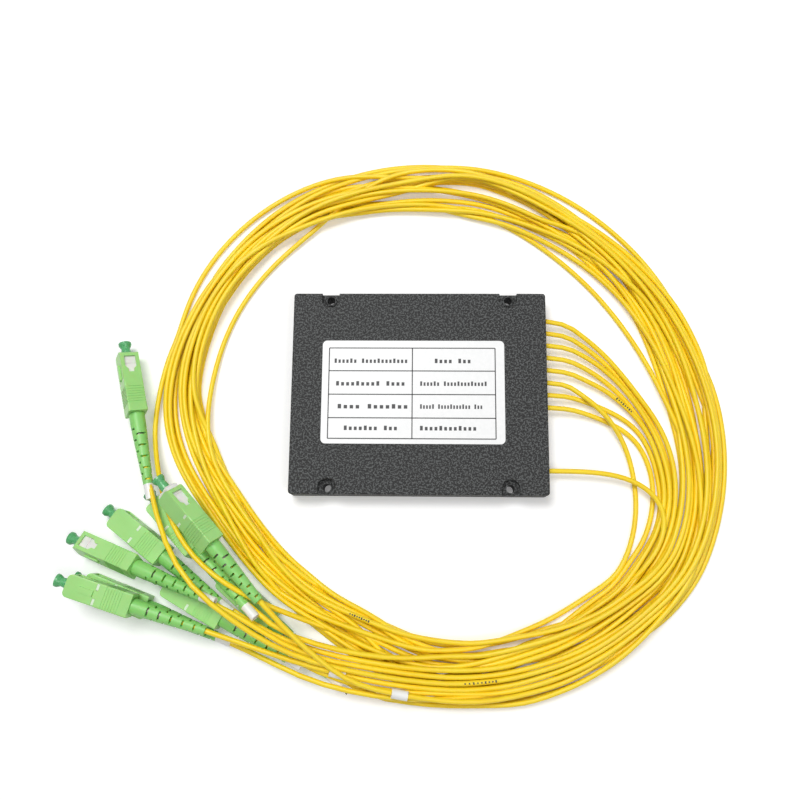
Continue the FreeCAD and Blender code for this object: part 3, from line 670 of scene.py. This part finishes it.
shape = bmesh.new()
for i in range(output_count):
    shape.from_mesh(moulded_digit(str(i + 1), outlet_y[str(i + 1)]))
digits_mesh = bpy.data.meshes.new("port_digits")
shape.to_mesh(digits_mesh)
shape.free()
digit_ink = ink_material("digit_plastic", srgb(12, 12, 12), srgb(20, 20, 20))
digits_mesh.materials.append(digit_ink)
digits = bpy.data.objects.new("port_digits", digits_mesh)
collection.objects.link(digits)
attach(digits, "splitter")
input_y = outlet_y["in"]
block("input_bar", [((45.9, input_y - 1.0, lid_top - 0.02), (46.5, input_y + 1.0, lid_top + 0.04))],
      Matrix.Identity(4), digit_ink, "splitter")

# Two bars above the cord of connector i, just past its number tag.
tag_top = turned("i") @ Matrix.Rotation(math.radians(180), 4, "X")
bars_middle = 63.0
bars = [((bars_middle + x - 0.35, -0.7, tag_radius - 0.2),
         (bars_middle + x + 0.35, 0.7, tag_radius + 0.03)) for x in (-0.9, 0.7)]
block("tag_bars", bars, tag_top, black_ink, "splitter")


def printed_dashes(name, points, at, count):
    """Dashes printed along the top of a cord, where its route passes a control point."""
    before, corner, after = (Vector(point) for point in points[at - 1:at + 2])
    start, end = (before + corner) / 2, (corner + after) / 2
    shape = bmesh.new()
    for i in range(count):
        t = (i + 0.5) / count
        place = (1 - t) ** 2 * start + 2 * t * (1 - t) * corner + t ** 2 * end
        along = ((1 - t) * (corner - start) + t * (end - corner)).normalized()
        turn = along.to_track_quat("X", "Z").to_matrix().to_4x4()
        size = Matrix.Diagonal((0.55, 0.55 + 0.3 * (i % 3 == 0), 0.14, 1.0))
        seat = Matrix.Translation(Vector((0, 0, cord_diameter / 2 - 0.04)))
        made = bmesh.ops.create_cube(shape, size=1.0)["verts"]
        bmesh.ops.transform(shape, matrix=Matrix.Translation(place) @ turn @ seat @ size,
                            verts=made)
    bmesh.ops.scale(shape, vec=(MM, MM, MM), verts=shape.verts)
    mesh = bpy.data.meshes.new(name)
    shape.to_mesh(mesh)
    shape.free()
    mesh.materials.append(black_ink)
    piece = bpy.data.objects.new(name, mesh)
    collection.objects.link(piece)
    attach(piece, "splitter")


printed_dashes("cord_print_lead", routes["5"], 4, 8)
print_spokes = (13, 18)
for number, station in enumerate(print_spokes):
    top, cord, point = max((point[2], cord, point) for cord in cords
                           for index, point in coil_turns[cord]
                           if index % stations == station and index > stations)
    printed_dashes("cord_print_" + str(number + 1), routes[cord], routes[cord].index(point), 9)

# Short white marks near the front of each grip, on both wide faces.
mark_start, mark_end = 11.55, 12.45
mark_y, mark_half_length = 2.8, 1.15
mark_face, mark_depth = 3.62, 0.03
for key in connectors:
    slide = connectors[key][4]
    matrix = turned(key) @ Matrix.Translation((slide * MM, 0, 0))
    marks = []
    for side in (-1, 1):
        for face in (-1, 1):
            y, z = side * mark_y, face * mark_face
            marks.append(((mark_start, y - mark_half_length, z - mark_depth),
                          (mark_end, y + mark_half_length, z + mark_depth)))
    block("grip_marks_" + key, marks, matrix, white_ink, "grip_" + key)


# ---------------------------------------------------------------------------------------------
# Floor, lights, camera

floor_mesh = bpy.data.meshes.new("floor")
shape = bmesh.new()
bmesh.ops.create_grid(shape, x_segments=1, y_segments=1, size=3.0)
shape.to_mesh(floor_mesh)
shape.free()
floor = bpy.data.objects.new("floor", floor_mesh)
collection.objects.link(floor)


def seen_white(tree):
    """1 where the camera, a mirror or glass looks at it, and 0 for the light that it gives."""
    path = tree.nodes.new("ShaderNodeLightPath")
    seen = path.outputs["Is Camera Ray"]
    for ray in ("Is Glossy Ray", "Is Transmission Ray"):
        add = tree.nodes.new("ShaderNodeMath")
        add.operation = "ADD"
        add.use_clamp = True
        tree.links.new(seen, add.inputs[0])
        tree.links.new(path.outputs[ray], add.inputs[1])
        seen = add.outputs["Value"]
    return seen


floor_material = bpy.data.materials.new("floor_paper")
floor_material.use_nodes = True
tree = floor_material.node_tree
tree.nodes.clear()
output = tree.nodes.new("ShaderNodeOutputMaterial")
diffuse = tree.nodes.new("ShaderNodeBsdfDiffuse")
paper = tree.nodes.new("ShaderNodeTexNoise")
paper.inputs["Scale"].default_value = 40.0
tint = tree.nodes.new("ShaderNodeValToRGB")
tint.color_ramp.elements[0].color = (0.94, 0.94, 0.94, 1)
tint.color_ramp.elements[1].color = (0.98, 0.98, 0.98, 1)
tree.links.new(paper.outputs["Fac"], tint.inputs["Fac"])
tree.links.new(tint.outputs["Color"], diffuse.inputs["Color"])
join = tree.nodes.new("ShaderNodeAddShader")
mix = tree.nodes.new("ShaderNodeMixShader")
faint = tree.nodes.new("ShaderNodeEmission")
# Away from the object the paper rises to white, as a sweep does, whichever side it is seen from.
where = tree.nodes.new("ShaderNodeTexCoord")
distance = tree.nodes.new("ShaderNodeVectorMath")
distance.operation = "LENGTH"
sweep = tree.nodes.new("ShaderNodeMapRange")
sweep.inputs["From Min"].default_value = 0.25
sweep.inputs["From Max"].default_value = 0.9
sweep.inputs["To Min"].default_value = 0.2
sweep.inputs["To Max"].default_value = 1.0
tree.links.new(where.outputs["Object"], distance.inputs[0])
tree.links.new(distance.outputs["Value"], sweep.inputs["Value"])
tree.links.new(sweep.outputs["Result"], faint.inputs["Strength"])
tree.links.new(diffuse.outputs["BSDF"], join.inputs[0])
tree.links.new(faint.outputs["Emission"], join.inputs[1])
tree.links.new(seen_white(tree), mix.inputs["Fac"])
tree.links.new(diffuse.outputs["BSDF"], mix.inputs[1])
tree.links.new(join.outputs["Shader"], mix.inputs[2])
tree.links.new(mix.outputs["Shader"], output.inputs["Surface"])
floor_mesh.materials.append(floor_material)

world = bpy.data.worlds.new("studio")
scene.world = world
world.use_nodes = True
background = world.node_tree.nodes["Background"]
background.inputs["Color"].default_value = (1.0, 1.0, 1.0, 1)
dim = world.node_tree.nodes.new("ShaderNodeMapRange")
dim.inputs["To Min"].default_value = 0.16
dim.inputs["To Max"].default_value = 1.0
world.node_tree.links.new(seen_white(world.node_tree), dim.inputs["Value"])
world.node_tree.links.new(dim.outputs["Result"], background.inputs["Strength"])


def soft_box(name, place, aim, size, power):
    light = bpy.data.lights.new(name, "AREA")
    light.shape = "RECTANGLE"
    light.size, light.size_y = size
    light.energy = power
    lamp = bpy.data.objects.new(name, light)
    lamp.location = place
    lamp.rotation_euler = (Vector(aim) - Vector(place)).to_track_quat("-Z", "Y").to_euler()
    collection.objects.link(lamp)
    return lamp


soft_box("key_light", (-0.22, 0.3, 0.95), (0, 0, 0), (0.5, 0.4), 7.0)
soft_box("fill_light", (0.4, -0.3, 0.85), (0, 0, 0), (0.5, 0.5), 2.7)

# The camera looks almost straight down, from a third of a metre.
camera_place = (0.0016, -0.0656, 0.3336)
camera_turn = (10.91, 1.48, 0.52)
camera_data = bpy.data.cameras.new("camera")
camera_data.lens = 38.1
camera_data.sensor_width = 36.0
camera_data.clip_start = 0.01
camera = bpy.data.objects.new("camera", camera_data)
camera.location = camera_place
camera.rotation_euler = Euler([math.radians(angle) for angle in camera_turn])
collection.objects.link(camera)
scene.camera = camera

scene.view_settings.view_transform = "Standard"
